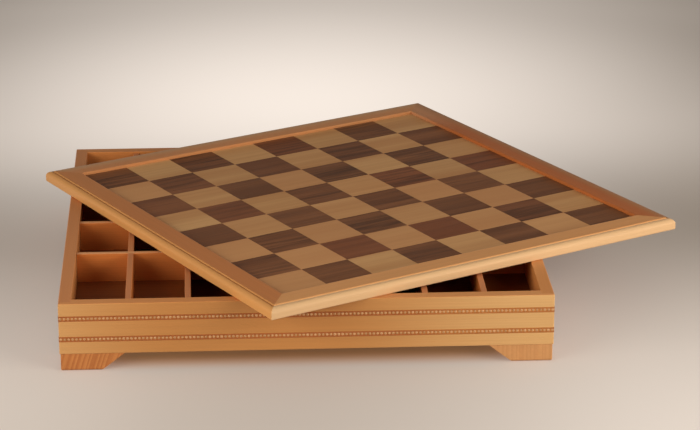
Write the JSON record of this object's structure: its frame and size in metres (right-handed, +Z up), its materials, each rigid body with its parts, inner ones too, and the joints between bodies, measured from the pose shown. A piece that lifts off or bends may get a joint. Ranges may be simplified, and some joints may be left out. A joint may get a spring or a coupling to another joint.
{
  "type": "chess box",
  "caption": "Square wooden case on bracket feet with a divider grid for chess pieces; its lift-off lid is an inlaid chessboard in a mitred frame.",
  "frame": {"origin": "on the table plane under the feet, straight below the middle of the lid, which is also the middle of the whole footprint; the middle of the case lies 50.3 mm to the left and 29 mm to the front of it", "axes": "+Z up; +X along the case's front face to the right; +Y from the front of the case to its back"},
  "size_m": [0.5574, 0.5574, 0.0697],
  "materials": {
    "case_wood": "satin lacquer, fine straight grain",
    "frame_wood": "satin lacquer, fine straight grain",
    "divider_wood": "satin lacquer",
    "foot_wood": "satin lacquer, end grain to the front",
    "block_wood": "sawn, unfinished",
    "panel_wood": "plywood, thin lacquer",
    "inlay": "satin lacquer, dark strips with a row of light beads",
    "walnut_veneer": "satin lacquer, dark streaked grain",
    "maple_veneer": "satin lacquer, faint grain",
    "backing_veneer": "thin lacquer",
    "screw_steel": "zinc plated"
  },
  "bodies": {
    "case": {"front_board": "case_wood", "back_board": "case_wood", "left_board": "case_wood", "right_board": "case_wood", "floor_panel": "panel_wood", "front_upper_inlay": "inlay", "front_lower_inlay": "inlay", "back_upper_inlay": "inlay", "back_lower_inlay": "inlay", "left_upper_inlay": "inlay", "left_lower_inlay": "inlay", "right_upper_inlay": "inlay", "right_lower_inlay": "inlay", "long_divider_1": "divider_wood", "long_divider_2": "divider_wood", "long_divider_3": "divider_wood", "long_divider_4": "divider_wood", "long_divider_5": "divider_wood", "long_divider_6": "divider_wood", "long_divider_7": "divider_wood", "cross_divider_front": "divider_wood", "cross_divider_middle": "divider_wood", "cross_divider_back": "divider_wood", "foot_front_left": "foot_wood", "foot_front_right": "foot_wood", "foot_back_right": "foot_wood", "foot_back_left": "foot_wood", "glue_block_front_left": "block_wood", "glue_block_front_right": "block_wood", "glue_block_back_right": "block_wood", "glue_block_back_left": "block_wood", "foot_screws": "screw_steel"},
    "lid": {"lid_frame_near": "frame_wood", "lid_frame_right": "frame_wood", "lid_frame_far": "frame_wood", "lid_frame_left": "frame_wood", "lid_core": "panel_wood", "dark_squares": "walnut_veneer", "light_squares": "maple_veneer", "lid_backing": "backing_veneer"}
  },
  "joints": [
    {"name": "lid_lift", "type": "slide", "parent": "case", "child": "lid", "axis": [0, 0, 1], "range_m": [0, 0.15]}
  ]
}
